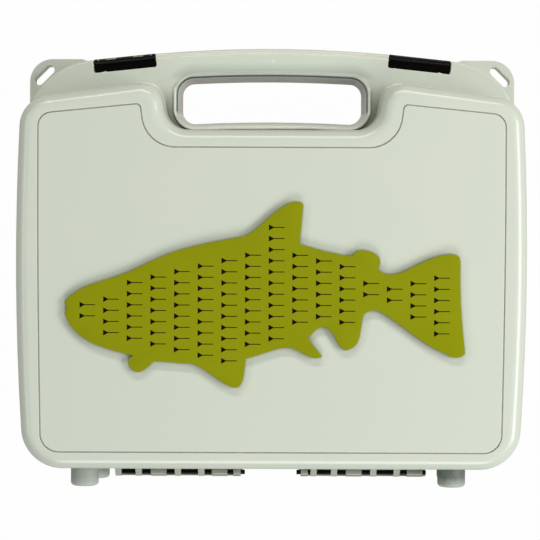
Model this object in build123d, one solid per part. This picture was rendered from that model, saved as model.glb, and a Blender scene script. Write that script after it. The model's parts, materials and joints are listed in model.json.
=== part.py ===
"""Fly fishing boat box: a moulded clamshell case with a carrying handle, hinges and two latches.

The case lies flat, base down and lid up. X runs along its width, +Y points to the handle, -Y to the
hinges, and the origin is under the middle of its bounding box. Each half is drawn in its own frame
with the parting plane at z = 0 and its outside towards +Z, and is then put into the case.
"""
from build123d import *
import os
from math import cos, radians, sin, sqrt, tan

os.makedirs("parts", exist_ok=True)

# Overall case
case_width = 352.4
case_depth = 301.2
half_height = 44.5
foot_height = 10.2

# Moulded walls
rim_width = 8.5
floor_wall = 3.0
handle_wall = 3.0
body_draft = 4.5
cavity_draft = 1.5
cavity_floor_radius = 3.0
press_clearance = 0.02

# Outline of the box body at the parting plane
side_bow_radius = 1850.0
widest_y = 9.0
back_corner_radius = 31.0
shoulder_radius = 24.0
lobe_slope = 7.5
lobe_peak_below_handle = 11.9
front_edge_radius = 9.0

# Recessed bay round the finger opening
bay_floor_below_handle = 56.5
bay_half_width = 70.0
bay_wall_lean = 9.0
bay_corner_radius = 15.0
bay_mouth_radius = 15.0

# Handle plate and finger opening
plate_height = 15.0
plate_draft = 2.0
plate_edge_radius = 2.0
handle_arch_radius = 900.0
handle_bar_width = 22.3
plate_shoulder_x = 121.0
plate_end_inset = 6.7
plate_end_below_handle = 45.9
plate_root_depth = 24.0
opening_width = 124.3
opening_height = 27.9
opening_arch_radius = 1000.0
opening_corner_radius = 8.5
opening_draft = 13.0
lip_width = 2.3
lip_height = 1.4
lip_edge_radius = 1.2
grip_line_inset = 3.3
grip_line_width = 0.8
grip_line_depth = 0.4
rib_pitch = 24.0
rib_thickness = 2.4
pocket_depth = 11.0

# Groove that frames the panel on the outside of each half
groove_width = 1.0
groove_depth = 0.8
panel_side_inset = 18.4
panel_bow_radius = 8000.0
panel_widest_y = 75.0
panel_back_inset = 14.8
panel_front_inset = 20.4
panel_front_slope = 5.7
panel_back_radius = 12.5
panel_front_radius = 9.5
panel_bay_half_width = 85.0
panel_bay_gap = 13.9
panel_bay_lean = 8.0
panel_bay_corner_radius = 22.5
panel_horn_radius = 3.0

# Seal in the lid's rim and the tongue on the base that presses it
seal_inset = 5.3
seal_width = 3.0
seal_height = 2.3
seal_side_clearance = 0.1
tongue_width = 1.2
tongue_height = 1.2
tongue_clearance = 0.3

# Hinge
hinge_offset = 3.4
knuckle_radius = 3.0
pin_radius = 1.6
pin_clearance = 0.05
swing_clearance = 0.25
group_outer_x = 108.3
group_inner_x = 18.0
left_first_knuckle_x = -106.1
right_first_knuckle_x = 29.9
lid_knuckle_steps = (0.0, 14.2, 41.5, 57.8)
base_knuckle_steps = (28.0, 70.5)
lid_knuckle_width = 4.3
base_knuckle_width = 10.9
end_knuckle_width = 5.0
knuckle_root_depth = 6.4
knuckle_block_height = 4.5
gusset_height = 8.4
gusset_top_depth = 3.8
gusset_face_angle = 47.0
rail_height = 6.0
rail_end_bevel = 3.0

# Latches and their notches
notch_width = 43.6
notch_depth = 8.4
notch_x = 101.3
notch_floor_below_handle = 15.6
notch_tilt = 6.0
notch_corner_radius = 1.5
latch_side_clearance = 0.5
latch_thickness = 9.6
latch_floor_clearance = 0.4
latch_pivot_height = 9.0
latch_plate_thickness = 3.0
latch_plate_inset = 1.0
latch_collar_length = 4.5
latch_waist_depth = 0.5
latch_reach = 13.0
latch_lip = 1.2
latch_lip_height = 3.0
hook_overlap = 1.0
hook_nose_height = 0.8
catch_clearance = 0.3
catch_bottom = 9.0
catch_top = 3.0
catch_width = 30.0
catch_face_gap = 0.5
latch_pin_radius = 1.5
latch_pin_grip = 5.0
cheek_wall = 6.0

# Tie-down ears on the base
ear_thickness = 12.0
ear_side_inset = 6.6
ear_corner_radius = 16.0
ear_top_below_handle = 6.1
ear_root_x = 133.0
slot_width = 6.4
slot_length = 17.0
slot_inset = 16.7
slot_below_handle = 17.5
slot_angle = 45.0

# Feet on the hinge side
foot_diameter = 19.0
foot_level = 22.0
foot_edge_radius = 2.6
foot_stem_diameter = 8.0
foot_stem_length = 4.0
foot_outer_inset = 48.7
foot_inner_inset = 52.3

# Foam liners
foam_thickness = 11.0
foam_side_clearance = 0.3

# Fly patch on the lid
patch_length = 269.4
patch_y = -0.9
patch_thickness = 3.0
backing_thickness = 1.0
slit_base = 4.0
slit_taper_length = 3.3
slit_length = 10.6
slit_width = 0.6
slit_first_x = -128.9
slit_first_y = -26.2
slit_column_pitch = 15.88
slit_row_step = 3.74
slit_rows = (
    (0, 2), (-1, 5), (-4, 6), (-5, 7), (-6, 8), (-7, 9), (-8, 10), (-9, 7),
    (-14, 6), (-9, 3), (-8, 2), (-7, 3), (-4, -2), (-3, -1), (-4, 2), (-5, 5))

# How far a cut or a root runs past the face that it meets
overrun = 1.0

# Places that follow from the sizes above
body_half_width = case_width / 2
plate_end_x = body_half_width - plate_end_inset
panel_half_width = body_half_width - panel_side_inset
ear_side_x = body_half_width - ear_side_inset
slot_x = body_half_width - slot_inset
foot_outer_x = body_half_width - foot_outer_inset
foot_inner_x = body_half_width - foot_inner_inset
handle_top_y = case_depth / 2
back_wall_y = foot_height - case_depth / 2
hinge_y = back_wall_y - hinge_offset
parting_z = half_height
lobe_peak_y = handle_top_y - lobe_peak_below_handle
bay_floor_y = handle_top_y - bay_floor_below_handle
opening_top_y = handle_top_y - handle_bar_width
opening_bottom_y = opening_top_y - opening_height
mouth_growth = plate_height * tan(radians(opening_draft))
pocket_growth = pocket_depth * tan(radians(opening_draft))
seal_groove_width = seal_width + 2 * seal_side_clearance
seal_groove_depth = tongue_height + tongue_clearance + seal_height
relief_radius = knuckle_radius + swing_clearance
through_height = plate_height + lip_height + overrun
hinge_groups = ((-group_outer_x, -group_inner_x), (group_inner_x, group_outer_x))
first_knuckle_xs = (left_first_knuckle_x, right_first_knuckle_x)
latch_axis_y = latch_floor_clearance + latch_thickness / 2
latch_outer_y = latch_floor_clearance + latch_thickness
latch_inner_y = latch_outer_y - latch_plate_thickness
latch_length = notch_width - 2 * latch_side_clearance
latch_pin_length = notch_width + 2 * latch_pin_grip


def right_half_face(*edges):
    """Closed face from the right half of an outline that is mirrored in the YZ plane.

    The first edge starts on the centre line at the hinge side, so that the face looks up.
    """
    right = Curve() + list(edges)
    return make_face(right + mirror(right, Plane.YZ))


def prism(face, height, start_z=0.0, draft=0.0):
    """Upward block on a flat outline; a positive draft narrows it as it rises."""
    return Pos(0, 0, start_z) * extrude(face, height, dir=(0, 0, 1), taper=draft)


def round_corner(face, place, radius):
    """Round the corner of a face that lies nearest to a place on its right, and its mirror image."""
    x, y = Vector(place).X, Vector(place).Y
    right = face.vertices().sort_by_distance((x, y, 0))[0]
    left = face.vertices().sort_by_distance((-x, y, 0))[0]
    return fillet([right, left], radius)


def bowed_side(reach, back_y, front_y, radius, middle_y):
    """Arc along a side from its back end to its front end, at its widest at middle_y."""
    ends = [(reach - (y - middle_y) ** 2 / (2 * radius), y) for y in (back_y, front_y)]
    return ThreePointArc(ends[0], (reach, middle_y), ends[1])


def arch(radius, crown_y, end_x):
    """Arc from the centre line out to end_x that falls away from its crown."""
    middle_x = end_x / 2
    middle = (middle_x, crown_y - radius + sqrt(radius ** 2 - middle_x ** 2))
    end = (end_x, crown_y - radius + sqrt(radius ** 2 - end_x ** 2))
    return ThreePointArc((0, crown_y), middle, end)


def body_face():
    """Outline of the box body at the parting plane, before the bay is taken out."""
    front_y = lobe_peak_y - body_half_width * tan(radians(lobe_slope))
    side = bowed_side(body_half_width, back_wall_y, front_y, side_bow_radius, widest_y)
    outline = right_half_face(
        Line((0, back_wall_y), side @ 0), side, Line(side @ 1, (0, lobe_peak_y)))
    outline = round_corner(outline, side @ 0, back_corner_radius)
    return round_corner(outline, side @ 1, shoulder_radius)


def bay_face(gap=0.0, half_width=bay_half_width, lean=bay_wall_lean, radius=bay_corner_radius):
    """Outline of the bay, open towards the handle; gap moves its floor down the case."""
    floor_y = bay_floor_y - gap
    beyond_y = handle_top_y + foot_height
    corner = (half_width, floor_y)
    mouth = (half_width + (beyond_y - floor_y) * tan(radians(lean)), beyond_y)
    outline = right_half_face(
        Line((0, floor_y), corner), Line(corner, mouth), Line(mouth, (0, beyond_y)))
    return round_corner(outline, corner, radius)


def plate_face():
    """Outline of the handle plate: the arched handle and the shoulders that run into the sides."""
    top = arch(handle_arch_radius, handle_top_y, plate_shoulder_x)
    end = (plate_end_x, handle_top_y - plate_end_below_handle)
    shoulder = TangentArc(top @ 1, end, tangent=(1, 0))
    inner_y = end[1] - plate_root_depth
    inner = (end[0] - plate_root_depth, inner_y)
    return right_half_face(Line((0, inner_y), inner), Line(inner, end), shoulder, top)


def opening_face(margin=0.0):
    """Outline of the finger opening at the parting plane, grown by a margin."""
    end_x = opening_width / 2 + margin
    top = arch(opening_arch_radius, opening_top_y + margin, end_x)
    bottom = arch(opening_arch_radius, opening_bottom_y - margin, end_x)
    outline = right_half_face(bottom, Line(bottom @ 1, top @ 1), top)
    radius = opening_corner_radius + margin
    outline = round_corner(outline, top @ 1, radius)
    return round_corner(outline, bottom @ 1, radius)


def panel_face(grow=0.0):
    """Outline of the panel that the groove frames, grown outwards on all sides."""
    reach = panel_half_width + grow
    back_y = back_wall_y + panel_back_inset - grow
    peak_y = lobe_peak_y - panel_front_inset + grow
    front_y = peak_y - reach * tan(radians(panel_front_slope))
    side = bowed_side(reach, back_y, front_y, panel_bow_radius, panel_widest_y)
    outline = right_half_face(Line((0, back_y), side @ 0), side, Line(side @ 1, (0, peak_y)))
    outline = round_corner(outline, side @ 0, panel_back_radius + grow)
    outline = round_corner(outline, side @ 1, panel_front_radius + grow)
    bay = bay_face(
        panel_bay_gap - grow, panel_bay_half_width - grow, panel_bay_lean, panel_bay_corner_radius - grow)
    outline = outline - bay
    bay_y = bay_floor_y - panel_bay_gap + grow
    horn = horn_place(peak_y, panel_front_slope, bay_y, panel_bay_half_width - grow, panel_bay_lean)
    return round_corner(outline, horn, panel_horn_radius + grow)


def box_face(inset=0.0):
    """Outline of the storage box at the parting plane, the bay taken out, drawn in by an inset."""
    outline = body_face() - bay_face()
    outline = round_corner(outline, bay_mouth(), bay_mouth_radius)
    if inset:
        outline = offset(outline, -inset, kind=Kind.ARC)
    return outline


def horn_place(peak_y, slope, floor_y, half_width, lean):
    """Where a bay's leaning wall meets a front that falls away from its peak on the centre line."""
    fall = tan(radians(slope))
    rise = tan(radians(lean))
    x = (half_width + (peak_y - floor_y) * rise) / (1 + fall * rise)
    return (x, peak_y - x * fall)


def bay_mouth():
    """Where the bay's right wall meets the front of the body."""
    return horn_place(lobe_peak_y, lobe_slope, bay_floor_y, bay_half_width, bay_wall_lean)


def notch_place(side):
    """Middle of a latch notch's floor at the parting plane; its +Y points out of the case."""
    return Pos(side * notch_x, handle_top_y - notch_floor_below_handle, 0) * Rot(0, 0, -side * notch_tilt)


def notch_face(side, grow=0.0):
    """Outline of a latch notch, seen from above."""
    width = notch_width + 2 * grow
    depth = 2 * notch_depth
    notch = Pos(0, depth / 2 - grow) * Rectangle(width, depth)
    if not grow:
        notch = fillet(notch.vertices().group_by(Axis.Y)[0], notch_corner_radius)
    return notch_place(side) * notch


def pocket_face():
    """Outline of the hollows inside the handle plate, with the ribs between them left standing."""
    face = offset(plate_face(), -handle_wall, kind=Kind.ARC)
    face = face - body_and_bay_face() - opening_face(handle_wall + pocket_growth)
    for side in (-1, 1):
        face = face - notch_face(side, cheek_wall)
    rib_count = int(opening_width / 2 / rib_pitch)
    for index in range(-rib_count, rib_count + 1):
        rib = Pos(index * rib_pitch, handle_top_y) * Rectangle(rib_thickness, 2 * handle_bar_width)
        face = face - rib
    return face


def body_and_bay_face():
    """The box outline together with the land beside and below the finger opening."""
    land_top = Pos(0, (opening_top_y + opening_bottom_y) / 2)
    land = land_top * Rectangle(2 * bay_mouth()[0], 2 * opening_height, align=(Align.CENTER, Align.MAX))
    return box_face() + land


def top_face(shape):
    """The highest face of a shape."""
    return shape.faces().sort_by(Axis.Z)[-1]


def moulded_half():
    """What both halves share: body, bay, handle plate, finger opening, grooves and hollows."""
    body = prism(body_face(), half_height, draft=body_draft)
    body = body - prism(bay_face(), half_height, plate_height, -body_draft)
    body = fillet(body.edges().filter_by(is_bay_mouth), bay_mouth_radius)
    body = fillet(top_face(body).outer_wire().edges(), front_edge_radius)
    plate = prism(plate_face(), plate_height, draft=plate_draft)
    plate = fillet(top_face(plate).edges().filter_by(GeomType.CIRCLE), plate_edge_radius)
    half = body + plate + opening_lip()
    half = half - prism(opening_face(), through_height, draft=-opening_draft)
    frame = panel_face(groove_width / 2) - panel_face(-groove_width / 2)
    half = half - sunk_line(frame, half_height, groove_depth)
    half = half - sunk_line(grip_line_face(), plate_height, grip_line_depth)
    half = half - cavity()
    return half - prism(pocket_face(), pocket_depth)


def opening_lip():
    """Rounded lip round the finger opening."""
    lip = prism(opening_face(mouth_growth + lip_width), lip_height, plate_height)
    return fillet(top_face(lip).outer_wire().edges(), lip_edge_radius)


def grip_line_face():
    """Outline of the fine line that runs along the handle from notch to notch."""
    end_x = notch_x - notch_width / 2 + overrun
    top = arch(handle_arch_radius, handle_top_y - grip_line_inset, end_x)
    bottom = arch(handle_arch_radius, handle_top_y - grip_line_inset - grip_line_width, end_x)
    return right_half_face(bottom, Line(bottom @ 1, top @ 1), top)


def sunk_line(face, surface_z, depth):
    """Tool that sinks a line of a given depth into a flat surface."""
    return prism(face, depth + overrun, surface_z - depth)


def is_bay_mouth(edge):
    """True for the upright edge where the bay's wall meets the front of the body."""
    start, end = edge.position_at(0), edge.position_at(1)
    upright = abs(start.Z - end.Z) > plate_height
    place = Vector(abs(start.X), start.Y)
    return upright and (place - Vector(bay_mouth())).length < front_edge_radius


def cavity():
    """The hollow of one half, with drafted walls and a rounded edge at its floor."""
    hollow = prism(box_face(rim_width), half_height - floor_wall, draft=cavity_draft)
    return fillet(top_face(hollow).outer_wire().edges(), cavity_floor_radius)


def lift(shape):
    """Put a shape drawn with the lid's half into the case."""
    return Pos(0, 0, parting_z) * shape


def flip(shape):
    """Put a shape drawn with the base's half into the case, upside down under the parting plane."""
    return Pos(0, 0, parting_z) * mirror(shape, Plane.XY)


def bar(radius, length):
    """Round bar along X about the origin."""
    return Rot(0, 90, 0) * Cylinder(radius, length)


def hinge_rod(start_x, end_x, radius):
    """Round bar along the hinge axis."""
    return Pos((start_x + end_x) / 2, hinge_y, 0) * bar(radius, end_x - start_x)


def side_profile(start_x, end_x, *points):
    """Bar along X with a section given as (y, z) points measured from the hinge axis."""
    section = Plane.YZ * make_face(Polyline(*points, close=True))
    return Pos(start_x, hinge_y, 0) * extrude(section, end_x - start_x, dir=(1, 0, 0))


def hinge_rods(radius):
    """A round bar on the hinge axis for each hinge group: a pin, or a cut that takes one."""
    return [hinge_rod(start_x, end_x, radius) for start_x, end_x in hinge_groups]


def lid_knuckles():
    """Narrow knuckles of the lid, each with a gusset up the lid's back wall."""
    lean = radians(gusset_face_angle)
    face_start = (-knuckle_radius * cos(lean), knuckle_radius * sin(lean))
    gusset = (
        (0, 0), face_start, (gusset_top_depth, gusset_height), (knuckle_root_depth, gusset_height),
        (knuckle_root_depth, 0))
    knuckles = Part()
    for first_x in first_knuckle_xs:
        for step in lid_knuckle_steps:
            start_x = first_x + step - lid_knuckle_width / 2
            knuckles += knuckle(start_x, start_x + lid_knuckle_width, gusset)
    return knuckles


def knuckle(start_x, end_x, root):
    """Barrel on the hinge axis with the root that joins it to its half."""
    return hinge_rod(start_x, end_x, knuckle_radius) + side_profile(start_x, end_x, *root)


def base_knuckle_spans():
    """Start and end along X of every knuckle of the base."""
    spans = []
    for first_x in first_knuckle_xs:
        for step in base_knuckle_steps:
            middle_x = first_x + step
            spans.append((middle_x - base_knuckle_width / 2, middle_x + base_knuckle_width / 2))
    near_x = group_inner_x + rail_end_bevel
    far_x = near_x + end_knuckle_width
    return spans + [(-far_x, -near_x), (near_x, far_x)]


def base_knuckles():
    """Wide knuckles of the base, carried by a rail that runs along each group under the pin."""
    block = (
        (-knuckle_radius, 0), (knuckle_root_depth, 0), (knuckle_root_depth, knuckle_block_height),
        (-knuckle_radius, knuckle_block_height))
    knuckles = Part()
    for start_x, end_x in base_knuckle_spans():
        knuckles += knuckle(start_x, end_x, block)
    for start_x, end_x in hinge_groups:
        knuckles += rail(start_x, end_x)
    return knuckles


def rail(start_x, end_x):
    """Bar along the base's back wall under a hinge pin, bevelled at its inner end."""
    outer_y = hinge_y - knuckle_radius
    inner_y = hinge_y + knuckle_root_depth
    start_bevel = rail_end_bevel if start_x > 0 else 0
    end_bevel = rail_end_bevel if start_x < 0 else 0
    outline = Polyline(
        (start_x, inner_y), (start_x + start_bevel, outer_y), (end_x - end_bevel, outer_y),
        (end_x, inner_y), close=True)
    return prism(make_face(outline), rail_height, relief_radius)


def seal_ring(width, start_z, height):
    """Ring of a given width that follows the rim at the seal's distance from the outside."""
    outer = box_face(seal_inset - width / 2)
    inner = box_face(seal_inset + width / 2)
    return prism(outer - inner, height, start_z)


def pin_place(side):
    """Middle of a latch pin."""
    return notch_place(side) * Pos(0, latch_axis_y, latch_pivot_height)


def foot_post(x, radius, start_y, length):
    """Round post that runs from start_y into the back wall at a foot's place."""
    post = Cylinder(radius, length, align=(Align.CENTER, Align.CENTER, Align.MIN))
    return Pos(x, start_y, foot_level) * Rot(-90, 0, 0) * post


def foot_stem(x, clearance=0.0):
    """Stem of a foot, or with a clearance the blind hole that takes it."""
    radius = foot_stem_diameter / 2 + clearance
    depth = wall_set_back() + foot_stem_length + clearance
    return foot_post(x, radius, back_wall_y - overrun, overrun + depth)


def wall_set_back():
    """How far the drafted back wall has stepped in at the level of the feet."""
    return foot_level * tan(radians(body_draft))


def foot(x, shell):
    """Round foot with a rounded edge, cut to the slope of its wall, and its stem in the wall."""
    pad = foot_post(x, foot_diameter / 2, -case_depth / 2, foot_height + foot_stem_length)
    pad = fillet(pad.edges().group_by(Axis.Y)[0], foot_edge_radius)
    return (pad - shell) + (foot_stem(x) - shell)


def lid_half():
    """The lid's moulding in its own frame."""
    half = moulded_half()
    for side in (-1, 1):
        half = half - prism(notch_face(side), through_height)
        half = half - pin_place(side) * bar(latch_pin_radius + press_clearance, latch_pin_length)
    half = half - hinge_rods(relief_radius) + lid_knuckles() - hinge_rods(pin_radius + pin_clearance)
    half = half - seal_ring(seal_groove_width, 0, seal_groove_depth)
    for x in (-foot_outer_x, foot_inner_x):
        half = half - foot_stem(x, press_clearance)
    return half


def ears():
    """Tie-down ears beside the handle plate, each with a slanted slot."""
    top_y = handle_top_y - ear_top_below_handle
    root_y = handle_top_y - plate_end_below_handle
    both = Part()
    for side in (-1, 1):
        outline = Polyline(
            (side * plate_shoulder_x, root_y), (side * plate_shoulder_x, top_y - notch_depth / 2),
            (side * ear_root_x, top_y), (side * ear_side_x, top_y), (side * ear_side_x, root_y),
            close=True)
        face = make_face(outline)
        corner = face.vertices().sort_by_distance((side * ear_side_x, top_y, 0))[0]
        face = fillet(corner, ear_corner_radius)
        both += prism(face, ear_thickness, plate_height - ear_thickness)
    return both


def slot_centre(side):
    """Middle of a tie-down slot."""
    return (side * slot_x, handle_top_y - slot_below_handle)


def ear_slots():
    """Slanted slots through both ears."""
    slots = Part()
    for side in (-1, 1):
        x, y = slot_centre(side)
        outline = Pos(x, y) * Rot(0, 0, side * (90 + slot_angle)) * SlotOverall(slot_length, slot_width)
        slots += prism(outline, through_height)
    return slots


def catch(side):
    """Ridge on the base's notch floor that the latch hooks under."""
    depth = latch_inner_y - catch_face_gap + overrun
    ridge = Box(catch_width, depth, catch_bottom - catch_top, align=(Align.CENTER, Align.MIN, Align.MIN))
    edge = ridge.edges().filter_by(Axis.X).group_by(Axis.Y)[-1].group_by(Axis.Z)[0]
    return notch_place(side) * Pos(0, -overrun, catch_top) * chamfer(edge, catch_face_gap)


def base_half():
    """The base's moulding in its own frame, outside towards +Z."""
    half = moulded_half() + ears()
    for side in (-1, 1):
        half = half - prism(notch_face(side), through_height)
        half = half + catch(side)
    half = half - ear_slots()
    half = half - hinge_rods(relief_radius) + base_knuckles() - hinge_rods(pin_radius + pin_clearance)
    for x in (-foot_inner_x, foot_outer_x):
        half = half - foot_stem(x, press_clearance)
    return half + seal_ring(tongue_width, -tongue_height, tongue_height)


def latch(side):
    """Snap latch: barrel round the pin, plate across the parting line and hook under the catch."""
    hook_z = -catch_bottom - catch_clearance
    nose_y = latch_inner_y - catch_face_gap - hook_overlap
    outline = Polyline(
        (latch_inner_y, latch_pivot_height), (latch_inner_y, hook_z), (nose_y, hook_z),
        (nose_y, hook_z - hook_nose_height), (latch_inner_y, -latch_reach),
        (latch_outer_y + latch_lip, -latch_reach), (latch_outer_y, latch_lip_height - latch_reach),
        (latch_outer_y, latch_pivot_height), close=True)
    plate = extrude(Plane.YZ * make_face(outline), latch_length / 2 - latch_plate_inset, both=True)
    barrel = bar(latch_thickness / 2 - latch_waist_depth, latch_length)
    for end in (-1, 1):
        middle_x = end * (latch_length - latch_collar_length) / 2
        barrel += Pos(middle_x, 0, 0) * bar(latch_thickness / 2, latch_collar_length)
    barrel = Pos(0, latch_axis_y, latch_pivot_height) * barrel
    bore = Pos(0, latch_axis_y, latch_pivot_height) * bar(latch_pin_radius + pin_clearance, latch_length)
    return notch_place(side) * (plate + barrel - bore)


def liner():
    """Foam liner, cut square, that lies inside the rounding on the floor of a half."""
    cavity_depth = half_height - floor_wall
    wall_step = cavity_depth * tan(radians(cavity_draft))
    face = box_face(rim_width + wall_step + cavity_floor_radius + foam_side_clearance)
    return prism(face, foam_thickness, cavity_depth - foam_thickness)


def trout_face():
    """Outline of the fly patch as smooth runs between its corners, from the snout along the belly.

    The places are hundredths of the patch's length.
    """
    runs = (
        ((-51.60, -8.61), (-50.97, -10.21)),
        ((-50.97, -10.21), (-51.60, -11.43)),
        ((-51.60, -11.43), (-50.56, -13.88), (-46.33, -18.04), (-42.13, -19.97), (-34.45, -22.09)),
        ((-34.45, -22.09), (-35.67, -23.68), (-33.41, -26.17), (-31.66, -25.58), (-29.40, -23.39)),
        ((-29.40, -23.39), (-19.78, -24.09)),
        ((-19.78, -24.09), (-14.85, -26.80), (-7.87, -29.58), (-6.64, -25.76), (-6.42, -22.79)),
        ((-6.42, -22.79), (-0.26, -20.86), (5.35, -20.12), (10.50, -22.46), (12.69, -22.16)),
        ((12.69, -22.16), (10.84, -19.78), (9.21, -17.59)),
        ((9.21, -17.59), (15.22, -16.30), (18.71, -20.49), (20.90, -19.41), (22.38, -15.18),
         (23.20, -11.54)),
        ((23.20, -11.54), (26.17, -10.62), (28.77, -11.92), (35.00, -16.30), (43.76, -21.42)),
        ((43.76, -21.42), (45.21, -22.16), (47.40, -22.01), (48.40, -21.23)),
        ((48.40, -21.23), (47.14, -4.38), (47.14, 1.82)),
        ((47.14, 1.82), (46.70, 2.90), (43.02, 3.34), (34.26, -0.22), (28.43, -1.41), (26.50, 0.00)),
        ((26.50, 0.00), (26.95, 2.38), (23.65, 4.42), (21.83, 4.38), (20.01, 2.90)),
        ((20.01, 2.90), (16.70, 3.45), (7.02, 6.01)),
        ((7.02, 6.01), (7.83, 14.96)),
        ((7.83, 14.96), (7.76, 15.89), (6.12, 16.52), (3.53, 15.70), (-0.48, 12.77), (-6.83, 7.83)),
        ((-6.83, 7.83), (-13.10, 6.68), (-26.39, 3.12), (-38.31, -2.15), (-48.78, -6.16), (-51.60, -8.61)),
    )
    edges = []
    for run in runs:
        points = [Vector(*place) * patch_length / 100 for place in run]
        edges.append(Line(*points) if len(points) == 2 else Spline(*points))
    return Pos(0, patch_y) * make_face(Curve() + edges).face()


def slit_wire(x, y):
    """Outline of one slit: a small triangle that runs out into a narrow cut."""
    half_base, half_cut = slit_base / 2, slit_width / 2
    return Wire(Polyline(
        (x, y - half_base), (x + slit_taper_length, y - half_cut), (x + slit_length, y - half_cut),
        (x + slit_length, y + half_cut), (x + slit_taper_length, y + half_cut), (x, y + half_base),
        close=True).edges())


def fly_patch_sheet():
    """Slit foam sheet; a column's rows are counted in half steps down from the first slit's level."""
    slits = []
    for column, (first, last) in enumerate(slit_rows):
        x = slit_first_x + column * slit_column_pitch
        for row in range(first, last + 1, 2):
            slits.append(slit_wire(x, slit_first_y - row * slit_row_step))
    face = Face(trout_face().outer_wire(), slits)
    return prism(face, patch_thickness)


def write(name, shape):
    """Write one sub-part to its own file."""
    shape.label = name
    export_step(shape, f"parts/{name}.step")


lid = lid_half()
base = base_half()
write("lid_shell", lift(lid))
write("base_shell", flip(base))
write("lid_seal", lift(seal_ring(seal_width, seal_groove_depth - seal_height, seal_height)))
write("lid_foam", lift(liner()))
write("base_foam", flip(liner()))
write("lid_foot_left", lift(foot(-foot_outer_x, lid)))
write("lid_foot_right", lift(foot(foot_inner_x, lid)))
write("base_foot_left", flip(foot(-foot_inner_x, base)))
write("base_foot_right", flip(foot(foot_outer_x, base)))
for side, name in ((-1, "left"), (1, "right")):
    write(f"latch_{name}", lift(latch(side)))
    write(f"latch_pin_{name}", lift(pin_place(side) * bar(latch_pin_radius, latch_pin_length)))
for pin, name in zip(hinge_rods(pin_radius), ("left", "right")):
    write(f"hinge_pin_{name}", lift(pin))
write("fly_patch_backing", lift(prism(trout_face(), backing_thickness, half_height)))
write("fly_patch", lift(Pos(0, 0, half_height + backing_thickness) * fly_patch_sheet()))
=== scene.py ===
"""Fly fishing boat box: its finishes, its soft pieces and the studio round it.

Everything is in metres and in the frame's own axes: X along the width, +Y to the handle and +Z to
the lid. The case lies on its base, and the camera looks straight down at the lid.
"""

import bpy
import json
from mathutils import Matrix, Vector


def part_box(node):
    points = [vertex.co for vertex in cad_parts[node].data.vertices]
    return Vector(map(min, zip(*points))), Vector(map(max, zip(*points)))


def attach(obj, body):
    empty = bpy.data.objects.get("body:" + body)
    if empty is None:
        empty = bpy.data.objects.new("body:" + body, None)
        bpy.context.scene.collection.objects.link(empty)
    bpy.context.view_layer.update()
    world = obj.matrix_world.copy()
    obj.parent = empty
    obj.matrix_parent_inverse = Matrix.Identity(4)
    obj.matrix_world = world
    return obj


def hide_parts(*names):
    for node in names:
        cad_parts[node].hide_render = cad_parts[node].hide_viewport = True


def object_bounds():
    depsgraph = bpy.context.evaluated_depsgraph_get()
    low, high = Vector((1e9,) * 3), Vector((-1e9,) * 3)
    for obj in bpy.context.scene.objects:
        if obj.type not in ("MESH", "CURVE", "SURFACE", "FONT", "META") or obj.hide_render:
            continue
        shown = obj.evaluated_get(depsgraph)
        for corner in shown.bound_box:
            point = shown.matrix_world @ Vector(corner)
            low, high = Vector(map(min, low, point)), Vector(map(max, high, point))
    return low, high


bl_info = {
    "name": "Fly Fishing Boat Box",
    "version": (1, 0, 0),
    "blender": (4, 5, 0),
    "location": "3D View > Sidebar > Boat Box",
    "description": "Dresses a moulded fly case with a slit foam patch, liners, a seal and black latches",
    "category": "Object",
}

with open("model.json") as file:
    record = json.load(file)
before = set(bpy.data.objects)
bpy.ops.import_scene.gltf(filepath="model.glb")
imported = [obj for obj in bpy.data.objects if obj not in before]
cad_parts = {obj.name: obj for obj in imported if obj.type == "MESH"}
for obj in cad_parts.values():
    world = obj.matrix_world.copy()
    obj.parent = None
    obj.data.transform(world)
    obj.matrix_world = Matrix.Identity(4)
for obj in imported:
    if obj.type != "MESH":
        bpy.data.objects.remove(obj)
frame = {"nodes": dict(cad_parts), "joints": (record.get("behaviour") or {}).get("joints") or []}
cad_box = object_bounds()

import json
from math import radians, tan

import bmesh
import bpy
from bpy.props import FloatProperty, FloatVectorProperty, PointerProperty
from mathutils import Matrix, Vector

MM = 0.001
HALVES = ("base", "lid")
SIDES = ("left", "right")
WHITE = (1.0, 1.0, 1.0, 1.0)

# Frame of the picture
IMAGE_SIZE = 540
SENSOR_WIDTH = 36.0
FLOOR_HALF_SIDE = 4.0

# Limits for work on meshes
WELD_DISTANCE = 0.01 * MM
LEVEL_TOLERANCE = 0.02 * MM
FLAT_ANGLE = radians(0.5)
SHARP_ANGLE = radians(45)
SMOOTH_ANGLE = radians(30)

# The case's outer box, the patch's top and the joints
case_low, case_high = (Vector(corner) for corner in cad_box)
patch_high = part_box("fly_patch")[1]
joints = {joint["name"]: joint for joint in frame["joints"]}

# The lid's handle plate, the bay in front of it and the gate mark of its moulding, painted as a pale
# highlight
parting_z = 44.5 * MM
plate_top = 59.5 * MM
bay_half_width = 70 * MM
bay_floor_y = case_high.y - 56.5 * MM
gate_place = (0.5 * MM, 141.5 * MM, plate_top)

# The finger opening at the parting, its lip and the painted shadow line along its walls
opening_low = Vector((-62.15 * MM, case_high.y - 50.2 * MM, 0.0))
opening_high = Vector((62.15 * MM, case_high.y - 22.3 * MM, 0.0))
opening_corner = 8.5 * MM
opening_spread = tan(radians(13))
lip_width = 2.3 * MM
line_z = 58.6 * MM

# The wall that the hinges stand on, and how far out they reach
back_wall_y = case_low.y + 10.2 * MM
hinge_end_x = 113 * MM

# Trim of a latch: places from its pin's middle, along it, outward and up, and sizes
RIB_PLACE = Vector((9.4, 3.7, 2.0)) * MM
RIB_SIZE = Vector((7.2, 1.0, 1.0)) * MM
RIB_ROUNDING = 0.25 * MM
DOT_PLACE = Vector((18.2, 3.6, 2.9)) * MM
DOT_RADIUS = 0.7 * MM
TAB_PLACE = Vector((14.0, -5.2, 4.9)) * MM
TAB_RADII = (0.9 * MM, 0.7 * MM)
TAB_LENGTH = 2.0 * MM

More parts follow.
